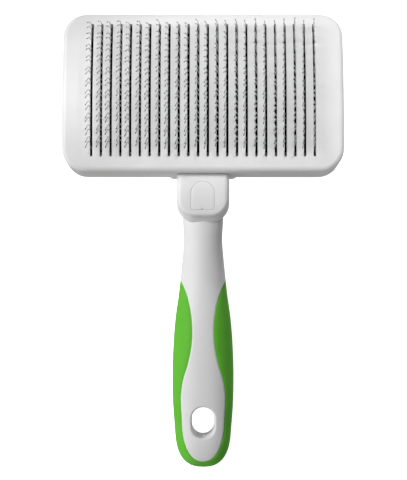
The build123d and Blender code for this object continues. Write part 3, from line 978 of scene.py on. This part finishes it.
def stage_mesh(name, rings, material):
    """A surface of revolution round the upright axis, from (radius, height) rings in metres."""
    verts = [(r * math.cos(t), r * math.sin(t), z) for r, z in rings
             for t in spread(0, 2 * math.pi, 49)[:-1]]
    mesh = bpy.data.meshes.new(name)
    loops = [list(range(48 * k, 48 * k + 48)) for k in range(len(rings))]
    faces = [face for a, b in zip(loops, loops[1:]) for face in stitch(a, b)]
    mesh.from_pydata(verts, [], faces + [tuple(loops[0]), tuple(loops[-1])])
    mesh.materials.append(material)
    piece = bpy.data.objects.new(name, mesh)
    piece.visible_shadow = False
    scene.collection.objects.link(piece)
    return piece


def build_floor():
    """White table and far backdrop: they show white, and the studio's own light does the rest."""
    floor = stage_mesh("floor", [(0.3, 0.0), (3.0, 0.0)], white_paper("floor_paper"))
    dome = [(4.0 * math.cos(a), 4.0 * math.sin(a)) for a in spread(0.0, math.pi / 2 - 0.02, 12)]
    backdrop = stage_mesh("backdrop", [(3.9, -0.05)] + dome, white_paper("backdrop_paper"))
    for piece in (floor, backdrop):
        piece.visible_diffuse = False
        piece.visible_glossy = False


def area_light(name, place, target, size, power, colour=(1, 1, 1)):
    data = bpy.data.lights.new(name, "AREA")
    data.shape = "DISK"
    data.size = size
    data.energy = power
    data.color = colour
    lamp = bpy.data.objects.new(name, data)
    lamp.location = place
    lamp.rotation_euler = (Vector(target) - Vector(place)).to_track_quat("-Z", "Y").to_euler()
    scene.collection.objects.link(lamp)


def head_spot(name, target, way, reach, power, radius):
    """Light barn-doored to the head, wider across than along; it draws the pins' shadows."""
    data = bpy.data.lights.new(name, "SPOT")
    data.energy = power
    data.shadow_soft_size = radius
    data.spot_size = math.radians(6.8)
    data.spot_blend = 0.3
    lamp = bpy.data.objects.new(name, data)
    back = Vector(way).normalized()
    up = back.cross(Vector((1, 0, 0))).normalized()
    across = up.cross(back)
    lamp.location = target + back * reach
    lamp.rotation_euler = Matrix((across, up, back)).transposed().to_euler()
    lamp.scale = (1.0, 0.45, 1.0)
    scene.collection.objects.link(lamp)


FROM_BELOW = 0.42        # soft light that a white table throws back up
FROM_ABOVE = 0.10


def build_light():
    world = bpy.data.worlds.new("studio")
    world.use_nodes = True
    nodes_of = world.node_tree.nodes
    links = world.node_tree.links
    place = nodes_of.new("ShaderNodeTexCoord")
    split = nodes_of.new("ShaderNodeSeparateXYZ")
    ramp = nodes_of.new("ShaderNodeValToRGB")
    shift = nodes_of.new("ShaderNodeMath")
    shift.operation = "MULTIPLY_ADD"
    shift.inputs[1].default_value = 0.5
    shift.inputs[2].default_value = 0.5
    ramp.color_ramp.elements[0].position = 0.44
    ramp.color_ramp.elements[1].position = 0.52
    ramp.color_ramp.elements[0].color = grey(FROM_BELOW)
    ramp.color_ramp.elements[1].color = grey(FROM_ABOVE)
    links.new(place.outputs["Generated"], split.inputs["Vector"])
    links.new(split.outputs["Z"], shift.inputs[0])
    links.new(shift.outputs["Value"], ramp.inputs["Fac"])
    links.new(ramp.outputs["Color"], nodes_of["Background"].inputs["Color"])
    nodes_of["Background"].inputs["Strength"].default_value = 1.0
    scene.world = world
    head = Vector((0, HEAD_Y * MM, 0.04))
    area_light("key_left", (-1.25, 0.47, 1.42), (0, 0, 0.02), 1.1, 33.4)
    area_light("fill_front", (-0.5, -1.0, 0.05), (0, 0, 0.02), 0.6, 2.3)
    area_light("rim_right", head + Vector((0.35, 0.25, -0.065)), head, 0.07, 0.34)
    area_light("fill_right", (0.9, -0.1, 0.25), (0, 0, 0.02), 0.5, 0.7)
    head_spot("head_spot", head + Vector((0.028, 0.003, 0)), (0.42, 0.36, 1.0), 1.6, 36.0, 0.012)


def build_camera():
    data = bpy.data.cameras.new("camera")
    data.sensor_fit = "AUTO"
    data.sensor_width = 36.0
    data.lens = 36.0 * 1103.0 / 480.0
    camera = bpy.data.objects.new("camera", data)
    rise = math.radians(83.0)
    look = Vector((0.0002, -0.0020, 0.0416))
    camera.location = look + Vector((0, -math.cos(rise), math.sin(rise))) * 0.460
    camera.rotation_euler = (look - camera.location).to_track_quat("-Z", "Y").to_euler()
    scene.collection.objects.link(camera)
    scene.camera = camera


build_floor()
build_light()
build_camera()
